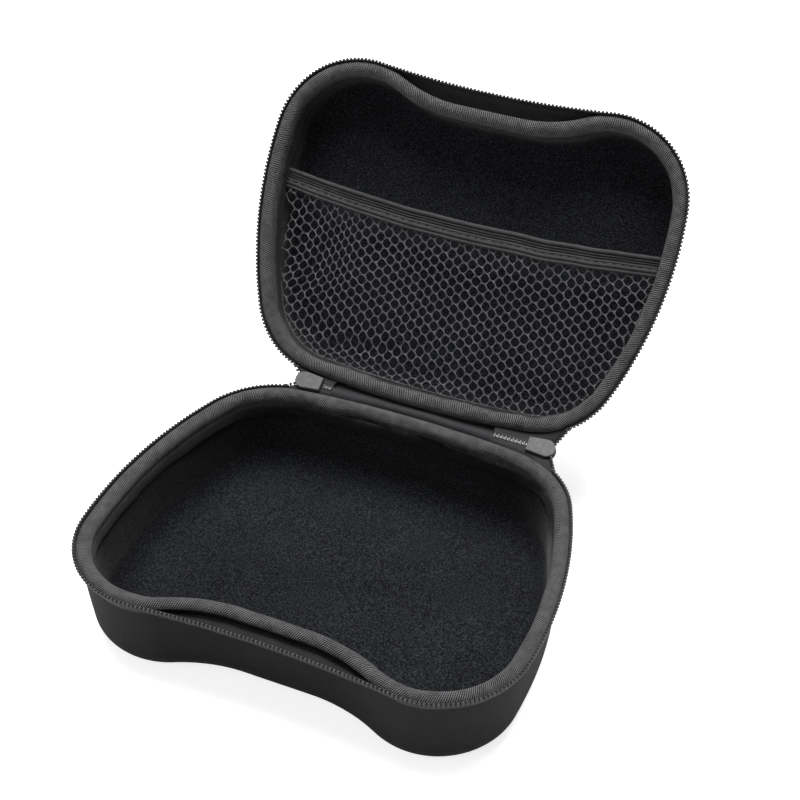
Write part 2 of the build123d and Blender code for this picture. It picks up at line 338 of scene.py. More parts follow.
# pitches, threads and bumps are in millimetres, the scales of grain count per metre
finishLooks = {
    "cover": {
        "dark": (0.003, 0.003, 0.004), "middle": (0.0105, 0.0106, 0.0125), "light": (0.022, 0.0222, 0.026),
        "pitch": 0.5, "bump": 0.07, "roughness": 0.78, "sheen": 0.07, "specular": 0.22, "mottleScale": 160.0,
    },
    "pile": {
        "dark": (0.002, 0.002, 0.003), "middle": (0.0098, 0.0104, 0.0122), "light": (0.044, 0.048, 0.054),
        "tufts": 1750.0, "fibres": 3900.0, "nap": 30.0, "bump": 0.3,
        "roughness": 1.0, "sheen": 0.2, "specular": 0.08,
    },
    "ribbon": {
        "dark": (0.002, 0.002, 0.002), "middle": (0.0115, 0.0115, 0.0122), "light": (0.2, 0.2, 0.205),
        "pitch": 0.86, "thread": 0.75, "threadShare": 0.22, "lean": 0.5, "bump": 0.34,
        "roughness": 0.75, "sheen": 0.15, "mottleScale": 300.0,
        # painted shade: across the ribbon the colour falls to flapShade of itself between flapFrom and
        # flapTo millimetres
        "flapFrom": 12.5, "flapTo": 15.0, "flapShade": 0.62,
    },
    "tape": {
        "dark": (0.003, 0.003, 0.004), "middle": (0.0095, 0.0095, 0.011), "light": (0.023, 0.023, 0.026),
        "pitch": 0.6, "thread": 0.3, "threadShare": 0.3, "lean": 0.0, "bump": 0.05,
        "roughness": 0.6, "sheen": 0.15, "mottleScale": 150.0,
    },
    "strip": {
        "dark": (0.006, 0.006, 0.007), "middle": (0.0145, 0.0148, 0.017), "light": (0.03, 0.031, 0.034),
        "pitch": 0.4, "bump": 0.04, "roughness": 0.55, "sheen": 0.1, "mottleScale": 90.0,
    },
    "elastic": {
        "dark": (0.005, 0.005, 0.006), "middle": (0.03, 0.03, 0.032), "light": (0.1, 0.1, 0.105),
        "pitch": 0.55, "thread": 0.5, "threadShare": 0.4, "lean": 0.5, "bump": 0.09,
        "roughness": 0.7, "sheen": 0.2, "mottleScale": 200.0,
    },
    "net": {
        "dark": (0.035, 0.036, 0.04), "middle": (0.08, 0.081, 0.087), "light": (0.2, 0.2, 0.21),
        "grain": 1800.0, "bump": 0.08, "roughness": 0.55, "sheen": 0.3,
    },
    "teeth": {
        "dark": (0.03, 0.03, 0.031), "middle": (0.05, 0.05, 0.052), "light": (0.08, 0.08, 0.084),
        "grain": 900.0, "bump": 0.01, "roughness": 0.28, "specular": 0.6,
    },
    "enamel": {
        "dark": (0.09, 0.09, 0.092), "middle": (0.11, 0.11, 0.112), "light": (0.13, 0.13, 0.133),
        "grain": 500.0, "bump": 0.008, "roughness": 0.45, "specular": 0.35,
    },
}
coverFinish = weaveFinish("WovenCover", finishLooks["cover"])
pileLining = pileFinish("ShortPile", finishLooks["pile"])
ribbonFinish = ribbedFinish("RibbedRibbon", finishLooks["ribbon"])
tapeFinish = ribbedFinish("ZipTape", finishLooks["tape"])
stripFinish = weaveFinish("HingeCloth", finishLooks["strip"])
elasticFinish = ribbedFinish("RibbedElastic", finishLooks["elastic"])
netFinish = hardFinish("NetCord", finishLooks["net"])
teethFinish = hardFinish("ZipTeeth", finishLooks["teeth"])
enamelFinish = hardFinish("SliderEnamel", finishLooks["enamel"])
print("finishes made")


# moulded shells: outside cover and inside lining
baseCoverLook = {
    "inset": 0.9, "depth": caseForm["baseDepth"], "radius": 11.0, "top": 2.6, "tuck": 2.0, "thickness": 2.4,
    "wallRows": 14, "bendRows": 12, "floorRows": 16, "unevenness": 0.16, "waves": 28.0, "floorLift": 0.0,
}
lidCoverLook = dict(baseCoverLook, depth=caseForm["lidDepth"], wallRows=10)
baseLiningLook = {
    "inset": 4.9, "depth": 36.0, "radius": 7.0, "top": 3.6, "tuck": 0.0, "thickness": 0.7,
    "wallRows": 18, "bendRows": 9, "floorRows": 26, "unevenness": 0.4, "waves": 24.0, "floorLift": 0.6,
}
lidLiningLook = dict(baseLiningLook, depth=23.4, wallRows=12)


def bowlRows(look):
    # (inset, depth) down the drafted wall and round the bottom bend
    inset, radius, top = look["inset"], look["radius"], look["top"]
    alpha = radians(caseForm["draft"])
    bendDepth = look["depth"] - radius
    bendInset = inset + slope * bendDepth + radius / cos(alpha)
    wallEnd = bendDepth + radius * sin(alpha)
    rows = [(inset + look["tuck"], top)] if look["tuck"] else []
    for step in range(look["wallRows"]):
        down = top + (wallEnd - top) * step / look["wallRows"]
        rows.append((inset + slope * down, down))
    for step in range(look["bendRows"] + 1):
        angle = alpha + (pi / 2 - alpha) * step / look["bendRows"]
        rows.append((bendInset - radius * cos(angle), bendDepth + radius * sin(angle)))
    return rows


def lengthsDown(rows):
    # length of the cloth from the first row to each
    lengths = [0.0]
    for first, second in zip(rows, rows[1:]):
        lengths.append(lengths[-1] + hypot(second[0] - first[0], second[1] - first[1]))
    return lengths


def makeBowl(half, look):
    rows = bowlRows(look)
    lastRow = len(rows) - 1
    lengths = lengthsDown(rows)
    side = 0 if half == "base" else 200

    def floorSpot(i, j, inset):
        # towards the middle of the floor past the last row
        spot, out = rimRun[i % stationCount]
        share = 1.0 - max(0, j - lastRow) / look["floorRows"]
        return (spot - out * inset) * share, out, share

    def place(i, j):
        inset, depth = rows[min(j, lastRow)]
        edge, out, share = floorSpot(i, j, inset)
        push = look["unevenness"] * wobble(edge.x, edge.y, depth * 1.5 + side, look["waves"])
        if j < lastRow:
            edge = edge - out * push * sin(pi * j / lastRow)
        elif j > lastRow:
            depth -= abs(push) * look["floorLift"] * min(1.0, (1 - share) * 6)
        return inCase(half, edge.x, edge.y, depth)

    def layOut(i, j, row):
        if row >= lastRow:
            edge = floorSpot(i, j, rows[lastRow][0])[0]
            return (edge.x, edge.y)
        return (rimLengths[i], lengths[min(j, lastRow)])

    return bentGrid(stationCount, lastRow + look["floorRows"], place, layOut)


shellLooks = (("base", baseCoverLook, baseLiningLook), ("lid", lidCoverLook, lidLiningLook))
for half, coverLook, liningLook in shellLooks:
    title = half.capitalize()
    bm = makeBowl(half, coverLook)
    faceTo(bm, inCase(half, 0, 0, coverLook["depth"] + 40))  # a spot outside the case
    cover = addPiece(title + "Cover", bm, half, coverFinish, [half + "_shell"])
    thicken(cover, coverLook["thickness"])
    bm = makeBowl(half, liningLook)
    faceTo(bm, inCase(half, 0, 0, 0))
    lining = addPiece(title + "Lining", bm, half, pileLining, [half + "_lining"])
    thicken(lining, liningLook["thickness"])
print("covers and linings made")


# ribbon folded over each rim
ribbonLook = {
    # (inset, depth) from the outer hem over the rim to the inner hem
    "profile": [
        (1.3, 3.0), (0.9, 2.95), (0.5, 2.85), (0.2, 2.7), (0.04, 2.45), (0.0, 2.2), (0.12, 1.85),
        (0.5, 1.35), (1.1, 0.72), (1.9, 0.34), (2.85, 0.2), (3.8, 0.34), (4.6, 0.72), (5.25, 1.35),
        (5.65, 2.2), (5.8, 3.1), (5.72, 4.1), (5.42, 4.9), (5.2, 5.4), (5.36, 5.9), (5.52, 6.8),
        (5.6, 8.0), (5.62, 9.3), (5.56, 10.5), (5.4, 11.3), (5.05, 11.5),
    ],
    "thickness": 0.5, "unevenness": 0.25, "waves": 13.0,
    "flapRow": 19, "hemWave": 0.7, "hemWaves": 9.0,
    "hingeSwell": 0.7, "swellReach": 50.0,
    # (start, length) of the stretch where the sewn strip begins to pull
    "pullZone": (36.0, 14.0), "pull": 0.22, "pullWaves": 5.5,
}


def swellAt(x):
    # how far the rim bulges back where the hinge strip holds it
    return ribbonLook["hingeSwell"] * max(0.0, 1.0 - (x / ribbonLook["swellReach"]) ** 2)


def makeRibbon(half):
    look = ribbonLook
    profile, flapRow = look["profile"], look["flapRow"]
    lengths = lengthsDown(profile)
    side = 0 if half == "base" else 300

    def place(i, j):
        spot, out = rimRun[i % stationCount]
        inset, depth = profile[j]
        uneven = look["unevenness"] * wobble(spot.x, spot.y, side + lengths[j] * 2.5, look["waves"])
        weight = 1.0 if inset > 2 else 0.25
        if j >= flapRow:
            fullness = look["hemWave"] * (j - flapRow) / 6
            depth += fullness * wobble(spot.x, spot.y, side + 90, look["hemWaves"])
            weight = 0.9
        pulled = rising(spot.y, look["pullZone"])
        uneven *= weight * (1.0 + 1.1 * pulled)
        tug = wobble(spot.x, spot.y, side + lengths[j] * 3.0, look["pullWaves"])
        uneven += look["pull"] * pulled * weight * tug
        inset = inset + slope * depth + uneven
        swell = swellAt(spot.x) if spot.y > 0 else 0.0
        edge = spot - out * (inset - swell * (1.0 if inset < 2 else 0.6))
        return inCase(half, edge.x, edge.y, max(depth, 0.05))

    bm = bentGrid(stationCount, len(profile) - 1, place, lambda i, j, row: (rimLengths[i], lengths[j]))
    faceTo(bm, inCase(half, 0, halfLength - 3, -20))  # a spot over the hinge side of the rim
    return bm


for half in ("base", "lid"):
    name, replaced = half.capitalize() + "Ribbon", [half + "_binding"]
    ribbon = addPiece(name, makeRibbon(half), half, ribbonFinish, replaced)
    thicken(ribbon, ribbonLook["thickness"])
print("ribbons made")


# zip tape and teeth on each rim
zipLook = {
    "grow": 0.5, "tape": 0.5, "top": 0.5, "ledge": 3.3, "sewnInset": 1.3, "ledgeRows": 6,
    "lean": 0.12, "leanWaves": 12.0, "sag": 0.6, "slot": 2.6, "crease": 0.3, "creaseWaves": 7.0,
    "pitch": 1.62, "headWidth": 1.15, "headReach": 1.05, "headHeight": 1.3, "headBevel": 0.34,
    "legDrop": 2.3, "legWidth": 0.6, "legReach": 0.5, "stepOut": 0.3,
}


def hasZip(edge):
    # the open zip leaves out the hinge side
    return not (edge.y > 0 and caseForm["zipLeft"] < edge.x < caseForm["zipRight"])


zipStations = [k for k, (spot, out) in enumerate(zipRun) if hasZip(spot + out * zipLook["grow"])]


def makeTape(half):
    look = zipLook
    grow, tape, top, ledge = look["grow"], look["tape"], look["top"], look["ledge"]
    ledgeRows = look["ledgeRows"]
    side = 0 if half == "base" else 400
    # out along the ledge, (way out, depth) round the band that holds the teeth, and back under the ledge
    rows = [("ledge", k / ledgeRows, 0.0) for k in range(ledgeRows)]
    rows += [("band", grow - tape, ledge - 0.6), ("band", grow - tape, 2.0)]
    rows += [("band", grow - tape, top + 0.15), ("band", grow - tape / 2, top)]
    rows += [("band", grow, top + 0.15), ("band", grow, 2.0)]
    rows += [("band", grow - 0.1, ledge - 0.3), ("band", grow - 0.5, ledge + tape)]
    rows += [("ledge", 1 - k / ledgeRows, tape) for k in range(1, ledgeRows + 1)]

    def stationAt(i):
        return zipStations[min(i, len(zipStations) - 1)]

    def place(i, j):
        kind, first, second = rows[j % len(rows)]
        zipSpot, zipOut = zipRun[stationAt(i)]
        if kind == "band":
            lean = look["lean"] * wobble(zipSpot.x, zipSpot.y, side, look["leanWaves"])
            edge = zipSpot + zipOut * (first + lean)
            return inCase(half, edge.x, edge.y, second)
        rimSpot, rimOut = rimRun[stationAt(i)]
        start = rimSpot - rimOut * look["sewnInset"]
        end = zipSpot + zipOut * (grow - tape)
        edge = start.lerp(end, first)
        # where the tape bridges the waist it hangs and creases
        wide = min(1.0, max(0.0, (end - start).length - 3.0) / 5.0)
        sag = wide * (look["sag"] * sin(pi * first) + look["slot"] * (1 - first) ** 2)
        crease = look["crease"] * wide * wobble(edge.x, edge.y, side, look["creaseWaves"]) * sin(pi * first)
        return inCase(half, edge.x, edge.y, ledge + second + sag + crease)

    def layOut(i, j, row):
        return (zipLengths[stationAt(i)], j * 0.9)

    bm = bentGrid(len(zipStations) - 1, len(rows), place, layOut)
    bmesh.ops.holes_fill(bm, edges=[edge for edge in bm.edges if edge.is_boundary])
    bmesh.ops.recalc_face_normals(bm, faces=bm.faces)
    return bm


def addBlock(bm, size, middle, uvs=False):
    verts = bmesh.ops.create_cube(bm, size=1.0, calc_uvs=uvs)["verts"]
    bmesh.ops.scale(bm, vec=size, verts=verts)
    bmesh.ops.translate(bm, vec=middle, verts=verts)
    return verts


def roundEdges(bm, edges, offset):
    return bmesh.ops.bevel(
        bm, geom=edges, affect="EDGES", offset=offset, segments=1, profile=0.5, material=-1)


def toothMesh():
    # one tooth: X along the chain, Y out of the case and Z down from the meeting plane
    look = zipLook
    height, drop = look["headHeight"], look["legDrop"]
    bm = bmesh.new()
    headMiddle = (0, look["stepOut"] - 0.1, look["top"] + height / 2 - 0.2)
    addBlock(bm, (look["headWidth"], look["headReach"], height), headMiddle)
    roundEdges(bm, bm.edges[:], look["headBevel"])
    legMiddle = (0, 0.1, (drop + height) / 2)
    leg = addBlock(bm, (look["legWidth"], look["legReach"], drop - height), legMiddle)
    tip = [vert for vert in leg if vert.co.z > drop - 0.5]
    bmesh.ops.scale(bm, vec=(0.7, 0.4, 1.0), verts=tip)
    mesh = bpy.data.meshes.new("toothShape")
    bm.to_mesh(mesh)
    bm.free()
    return mesh


def chainSpots():
    total = zipLengths[-1]
    count = round(total / zipLook["pitch"])
    spots, station = [], 0
    for index in range(count):
        gone = total * index / count
        while zipLengths[station + 1] < gone:
            station += 1
        share = (gone - zipLengths[station]) / (zipLengths[station + 1] - zipLengths[station])
        first, second = zipRun[station], zipRun[(station + 1) % stationCount]
        out = first[1].lerp(second[1], share).normalized()
        edge = first[0].lerp(second[0], share) + out * zipLook["grow"]
        if hasZip(edge):
            spots.append((edge, out))
    return spots


def addTooth(bm, half, edge, out, drop):
    known = len(bm.verts)
    bm.from_mesh(toothShape)
    bm.verts.ensure_lookup_table()
    for vert in bm.verts[known:]:
        spot = edge + Vector((out.y, -out.x)) * vert.co.x + out * vert.co.y
        vert.co = inCase(half, spot.x, spot.y, vert.co.z + drop)


toothShape = toothMesh()
for half in ("base", "lid"):
    title = half.capitalize()
    addPiece(title + "ZipTape", makeTape(half), half, tapeFinish, [half + "_zip_tape"])
    bm = bmesh.new()
    for edge, out in chainSpots():
        addTooth(bm, half, edge, out, 0.0)
    bmesh.ops.recalc_face_normals(bm, faces=bm.faces)
    addPiece(title + "ZipTeeth", bm, half, teethFinish, [half + "_zip_teeth"])


# tape and teeth that leave the rims for the closed stretch of zip at the hinge
endLook = {
    "stripEnd": 36.2, "chainEdge": 2.1, "mouth": 4.0, "tape": 0.4, "columns": 26, "rows": 8,
    "underRibbon": 0.5, "sewnDepth": 4.6, "overlap": 1.8, "teethRise": 0.9,
}


def backEdge(x, run, grow):
    # the hinge side of a plan line at x
    for first, second in zip(run + run[:1], run[1:] + run[:1]):
        start, end = first[0] + first[1] * grow, second[0] + second[1] * grow
        if start.y > 0 and min(start.x, end.x) <= x <= max(start.x, end.x) and start.x != end.x:
            return start.y + (end.y - start.y) * (x - start.x) / (end.x - start.x)
    return halfLength


def foldLevel(half):
    return caseForm["hingeDrop"] if half == "base" else -caseForm["hingeDrop"]


def endCurve(side, half):
    # (x, y, depth) of the zip's last place on the rim, of its bend and of the slider's mouth
    rimEnd = (caseForm["zipRight"] if side > 0 else -caseForm["zipLeft"]) + endLook["overlap"]
    mouth = (caseForm["sliderRight"] if side > 0 else -caseForm["sliderLeft"]) + endLook["mouth"]
    start = Vector((rimEnd, backEdge(side * rimEnd, zipRun, zipLook["grow"]), 1.0))
    end = Vector((mouth, hingePoint.y - 1.3, foldLevel(half) + 0.4))
    return start, (start + end) / 2 + Vector((-0.6, 0.8, 0)), end


def onCurve(curve, share):
    # a spot of the curve and the way it runs there
    start, bend, end = curve
    spot = start * (1 - share) ** 2 + bend * 2 * share * (1 - share) + end * share ** 2
    return spot, ((bend - start) * (1 - share) + (end - bend) * share).normalized()


def makeEndTape(side):
    look = endLook
    lean = radians(caseForm["openAngle"] / 2)
    chainY = hingePoint.y - look["chainEdge"] * sin(lean)
    whole = bmesh.new()
    whole.loops.layers.uv.new("UVMap")
    for half in ("base", "lid"):
        curve = endCurve(side, half)
        chainDepth = foldLevel(half) + look["chainEdge"] * cos(lean)

        def place(i, j):
            share, up = i / look["columns"], j / look["rows"]
            outer = onCurve(curve, up)[0]
            x = look["stripEnd"] + (outer.x - look["stripEnd"]) * share
            rim = backEdge(side * x, rimRun, -look["underRibbon"])
            y = rim + (chainY - rim) * up
            depth = look["sewnDepth"] * (1 - up) ** 1.5 + chainDepth * up
            # the outer edge follows the teeth
            near = share ** 4
            y += (outer.y - y) * near
            depth += (outer.z + look["teethRise"] - depth) * near
            return inCase(half, side * x, y, depth)

        bm = bentGrid(look["columns"], look["rows"], place, lambda i, j, row: (i * 1.3, j * 1.2))
        mesh = bpy.data.meshes.new("endTapeHalf")
        bm.to_mesh(mesh)
        bm.free()
        whole.from_mesh(mesh)
        bpy.data.meshes.remove(mesh)
    return whole


def makeEndTeeth(side):
    bm = bmesh.new()
    for half in ("base", "lid"):
        curve = endCurve(side, half)
        count = max(2, round((curve[2] - curve[0]).length / zipLook["pitch"]))
        for index in range(count):
            spot, way = onCurve(curve, (index + 0.5) / count)
            out = Vector((way.y, -way.x)).normalized()
            edge, turned = Vector((side * spot.x, spot.y)), Vector((side * out.x, out.y))
            addTooth(bm, half, edge, turned, spot.z - 1.0)
    bmesh.ops.recalc_face_normals(bm, faces=bm.faces)
    return bm


# closed stretch of zip that each slider runs on
chainLook = {
    "startGap": 0.4, "postGap": 1.6, "mouthRun": 3.0,
    "tape": 0.4, "tapeEdge": 2.35, "slit": 0.35, "openSlit": 0.6,
    "tooth": (1.15, 2.1, 1.1), "openTooth": (1.15, 0.6, 1.1), "toothBevel": 0.25, "firstTooth": 0.6,
    # (way past the last closed tooth, way off the middle) of the teeth in the slider's mouth
    "openTeeth": [(0.9, -0.9), (0.9, 0.9), (2.4, -0.9), (2.4, 0.9)],
}


def makeChain(side, part):
    # closed teeth, or the two tapes they sit on, in the plane that halves the lid's angle
    look = chainLook
    slider = caseForm["sliderRight"] if side > 0 else -caseForm["sliderLeft"]
    start, end = endLook["stripEnd"] + look["startGap"], slider + look["postGap"]
    bm = bmesh.new()
    bm.loops.layers.uv.new("UVMap")
    if part == "tapes":
        # beyond the last closed tooth the tapes run on beside the slider's post, to its mouth
        stretches = ((start, end, look["slit"]), (end, end + look["mouthRun"], look["openSlit"]))
        for across in (-1, 1):
            for first, last, inner in stretches:
                size = (last - first, look["tapeEdge"] - inner, look["tape"])
                middle = ((first + last) / 2, across * (look["tapeEdge"] + inner) / 2, 0)
                addBlock(bm, size, middle, uvs=True)
    else:
        for index in range(int((end - start - 1.0) / zipLook["pitch"]) + 1):
            addBlock(bm, look["tooth"], (start + look["firstTooth"] + index * zipLook["pitch"], 0, 0))
        for along, across in look["openTeeth"]:
            addBlock(bm, look["openTooth"], (end + along, across, 0))
        roundEdges(bm, bm.edges[:], look["toothBevel"])
    lean = radians(caseForm["openAngle"] / 2)
    toBase, outward = Vector((0, -sin(lean), -cos(lean))), Vector((0, cos(lean), -sin(lean)))
    for vert in bm.verts:
        spot = hingePoint + toBase * vert.co.y + outward * vert.co.z
        vert.co = Vector((side * vert.co.x, spot.y, spot.z)) / 1000
    bmesh.ops.recalc_face_normals(bm, faces=bm.faces)
    return bm


for side, title in ((-1, "Left"), (1, "Right")):
    rimEnd = caseForm["zipRight"] if side > 0 else caseForm["zipLeft"]
    edgeY = backEdge(rimEnd, zipRun, zipLook["grow"])
    ends = [inCase(half, rimEnd, edgeY, 1.5) for half in ("base", "lid")]
    endTape = addPiece(title + "EndTape", makeEndTape(side), None, tapeFinish)
    thicken(endTape, endLook["tape"], 0.0)
    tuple(ends[0])
    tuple(ends[1])
    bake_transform(endTape)
    endTeeth = addPiece(title + "EndTeeth", makeEndTeeth(side), None, teethFinish)
    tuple(ends[0])
    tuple(ends[1])
    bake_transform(endTeeth)
    body, closed = title.lower() + "_zip_end", [title.lower() + "_closed_teeth"]
    addPiece(title + "ChainTeeth", makeChain(side, "teeth"), body, teethFinish, closed, smooth=False)
    addPiece(title + "ChainTape", makeChain(side, "tapes"), body, tapeFinish, closed, smooth=False)
bpy.data.meshes.remove(toothShape)
print("zip made")


# hinge strip
stripLook = {
    "halfWidth": 37.5, "thickness": 0.7, "wave": 0.25, "waves": 16.0, "columns": 60,
    # (way out from the rim, depth) of each row, up the base and then down the lid
    "baseRows": [(0.45, 9.4), (0.45, 8.0), (0.45, 6.4), (0.5, 4.8), (0.75, 3.2), (1.3, 1.9), (2.2, 1.05)],
    "foldRows": [(3.4, 0.75), (4.6, 1.25)],
    "lidRows": [(1.6, 3.6), (0.95, 4.6), (0.6, 5.8), (0.5, 7.2), (0.5, 8.4), (0.5, 9.4)],
}


def makeStrip():
    look = stripLook
    rows = [("base", out, depth) for out, depth in look["baseRows"] + look["foldRows"]]
    rows += [("lid", out, depth) for out, depth in look["lidRows"]]

    def place(i, j):
        x = look["halfWidth"] * (2 * i / look["columns"] - 1)
        half, out, depth = rows[j]
        back = backEdge(x, rimRun, 0.0)
        towardsFold = min(1.0, max(0.0, (out - 0.5) / 2.5))
        y = back + out + (halfLength - back) * towardsFold + swellAt(x) * (1 - towardsFold)
        uneven = wobble(x, depth * 3, 50 if half == "lid" else 0, look["waves"])
        y += look["wave"] * uneven * (0.3 + towardsFold)
        return inCase(half, x, y, depth)

    bm = bentGrid(look["columns"], len(rows) - 1, place, lambda i, j, row: (i * 1.22, j * 1.6))
    faceTo(bm, Vector((0, 0.05, 0.08)))
    return bm


strip = addPiece("HingeStrip", makeStrip(), None, stripFinish, ["hinge_panel"])
thicken(strip, stripLook["thickness"], 0.0)
ends = [inCase(half, 0, halfLength + 0.5, 3.0) for half in ("base", "lid")]
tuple(ends[0])
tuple(ends[1])
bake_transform(strip)
print("hinge strip made")


# pocket in the lid: elastic and stitches
pocketLook = {"depth": 10.0, "inset": 5.9, "reach": 91.2}
elasticLook = {
    "front": -12.3, "back": -3.2, "frontBow": 5.7, "backBow": 6.4, "middleY": -16.0, "columns": 120,
    # (share of the width, height): mouth edge, three grooves, sewn band and net edge
    "relief": [
        (0.0, -0.5), (0.01, 0.1), (0.05, 0.5), (0.12, 0.62), (0.17, 0.5), (0.195, -0.2), (0.225, -0.9),
        (0.255, -0.2), (0.28, 0.36), (0.3, 0.36), (0.32, -0.2), (0.35, -0.9), (0.38, -0.2), (0.4, 0.34),
        (0.42, 0.34), (0.44, -0.2), (0.465, -0.9), (0.49, -0.2), (0.52, 0.36), (0.59, 0.3), (0.635, -0.35),
        (0.68, 0.3), (0.76, 0.4), (0.8, 0.24), (0.84, -0.6), (0.88, 0.2), (0.95, 0.26), (0.99, 0.0),
        (1.0, -0.5),
    ],
    "underside": [(0.85, -0.95), (0.5, -1.0), (0.15, -0.95)],
    "stitchPitch": 3.6, "stitch": (2.3, 0.5, 0.4), "stitchBevel": 0.15, "stitchAcross": 0.635,
}


def pocketInset():
    return pocketLook["inset"] + slope * pocketLook["depth"]


def wallX(y, inset):
    # half the lid's inside width at y
    for i in range(1, stationCount // 2):
        first = rimRun[i - 1][0] - rimRun[i - 1][1] * inset
        second = rimRun[i][0] - rimRun[i][1] * inset
        if first.y >= y > second.y:
            return first.x + (second.x - first.x) * (first.y - y) / (first.y - second.y)
    return 80.0


def bowedY(edge, bow, x):
    return edge - bow * (x / pocketLook["reach"]) ** 2


def onElastic(share, across, height):
    # share runs from the left end (-1) to the right (1), across from the mouth (0) to the net (1)
    look, inset = elasticLook, pocketInset()
    middleX = wallX(look["middleY"], inset)
    x = middleX * share
    front = bowedY(look["front"], look["frontBow"], x)
    back = bowedY(look["back"], look["backBow"], x)
    y = front + (back - front) * across
    x = x * wallX(y, inset) / middleX
    y += 0.35 * wobble(x, 0, 10, 17.0)
    return x, y, pocketLook["depth"] - 0.2 - height + 0.3 * wobble(x, y * 0.6, 40, 12.0)


def makeElastic():
    columns, rows = elasticLook["columns"], elasticLook["relief"] + elasticLook["underside"]

    def spotOf(i, j):
        return onElastic(2 * i / columns - 1, *rows[j % len(rows)])

    bm = bentGrid(
        columns, len(rows), lambda i, j: inCase("lid", *spotOf(i, j)), lambda i, j, row: spotOf(i, j)[:2])
    bmesh.ops.holes_fill(bm, edges=[edge for edge in bm.edges if edge.is_boundary])
    bmesh.ops.recalc_face_normals(bm, faces=bm.faces)
    return bm


def makeStitches():
    # thread that lies in the sewn groove, one short length after another
    look = elasticLook
    bm = bmesh.new()
    count = round(2 * pocketLook["reach"] * 0.89 / look["stitchPitch"])
    for index in range(count):
        share = 2 * (index + 0.5) / count - 1
        spot = Vector(onElastic(share, look["stitchAcross"], 0.02))
        ahead = Vector(onElastic(share + 0.01, look["stitchAcross"], 0.02))
        stitch = addBlock(bm, look["stitch"], (0, 0, 0))
        edges = {edge for vert in stitch for edge in vert.link_edges}
        made = roundEdges(bm, list(edges), look["stitchBevel"])
        turn = Matrix.Rotation(atan2(ahead.y - spot.y, ahead.x - spot.x), 3, "Z")
        for vert in set(made["verts"]):
            vert.co = inCase("lid", *(turn @ vert.co + spot))
    bmesh.ops.recalc_face_normals(bm, faces=bm.faces)
    return bm


addPiece("PocketElastic", makeElastic(), "lid", elasticFinish, ["pocket_elastic"])
addPiece("ElasticStitches", makeStitches(), "lid", netFinish, ["pocket_elastic"])


# pocket net: thin threads, and thicker cords on top of them
netLook = {
    "cellStep": 3.3, "cellHeight": 4.5, "linkSlant": 0.3, "linkTilt": 0.2, "columns": 28, "rows": (-3, 18),
    "thread": 0.27, "cord": 0.42, "cordRise": 0.4, "underElastic": 2.5, "edgeGap": 0.9, "looseOver": 7.0,
    "sag": 1.0, "unevenness": 0.6, "leftGather": 5.5, "fold": 1.3, "slack": 3.5, "ruck": 1.6,
    # (start, length) of the stretches over which the gathers come and go
    "gatherAcross": (-76.0, 34.0), "gatherAlong": (40.0, 20.0),
    "slackAcross": (30.0, 70.0), "slackAlong": (34.0, 26.0),
    "foldAcross": (-78.0, 36.0), "foldAlong": (44.0, 12.0),
}


def nearestWall(spot, inset):
    # how far a spot is inside the offset plan, with the nearest point on it
    best = None
    for point, out in rimRun:
        edge = point - out * inset
        distance = (edge - spot).length
        if best is None or distance < best[0]:
            best = (distance, (edge - spot).dot(out), edge)
    return best[1], best[2]


def addCells(bm, inset):
    # six-sided cells side by side, each link between two of them tilted as the knitting pulls it
    look = netLook
    step, height = look["cellStep"], look["cellHeight"]
    turn = Matrix.Rotation(pi / 6, 4, "Z")
    for column in range(-look["columns"], look["columns"] + 1):
        for row in range(*look["rows"]):
            middle = Vector((column * step, row * height + (height / 2 if column % 2 else 0)))
            gap = nearestWall(middle, inset)[0]
            front = bowedY(elasticLook["back"], elasticLook["backBow"], middle.x) - look["underElastic"]
            if gap < -height * 0.6 or middle.y < front or middle.y > halfLength:
                continue
            cell = bmesh.ops.create_circle(bm, cap_ends=True, segments=6, radius=1.0, matrix=turn)
            for vert in cell["verts"]:
                rightEnd = (vert.co.x < 0) if abs(vert.co.y) < 0.1 else (vert.co.x > 0)
                way = 1 if rightEnd else -1
                vert.co.x = vert.co.x * step * 2 / 3 - way * look["linkSlant"]
                vert.co.y = vert.co.y * height / sqrt(3) + way * look["linkTilt"]
            bmesh.ops.translate(bm, vec=(*middle, 0), verts=cell["verts"])
    bmesh.ops.remove_doubles(bm, verts=bm.verts, dist=0.3)


def gathered(x, y, inset):
    # a fold beside the left wall and slack cloth along the hinge side, held by the wall all round
    look = netLook
    x += look["leftGather"] * (1 - rising(x, look["gatherAcross"])) * falling(y, look["gatherAlong"])
    slackSide = falling(x, look["slackAcross"]) * rising(y, look["slackAlong"])
    y += look["slack"] * slackSide * ease(nearestWall(Vector((x, y)), inset)[0] / 9.0)
    spot = Vector((x, y))
    gap, edge = nearestWall(spot, inset)
    x, y = edge if gap < look["edgeGap"] else spot
    loose = min(1.0, max(0.0, gap) / look["looseOver"])
    fold = (1 - rising(x, look["foldAcross"])) * falling(y, look["foldAlong"])
    fold *= sin((x + 0.35 * y) * 0.55)
    ruck = sin(x * 0.12 + y * 0.6 + 2.5 * wobble(x, y, 3, 24.0)) * slackSide
    hang = look["sag"] + look["fold"] * fold + look["ruck"] * ruck
    hang += look["unevenness"] * wobble(x, y, 9, 20.0)
    across = x + 0.35 * loose * wobble(x, y, 21, 14.0)
    along = y + loose * (1.1 * ruck + 0.3 * wobble(x, y, 31, 12.0))
    return across, along, pocketLook["depth"] + loose * hang


def makeNet():
    bm = bmesh.new()
    inset = pocketInset()
    addCells(bm, inset)
    for edge in bm.edges:
        # a seam marks the thin threads, which fall to the right from one cord to the next
        run = edge.verts[1].co - edge.verts[0].co
        edge.seam = run.x * run.y < 0
    for vert in bm.verts:
        vert.co = inCase("lid", *gathered(vert.co.x, vert.co.y, inset))
    return bm


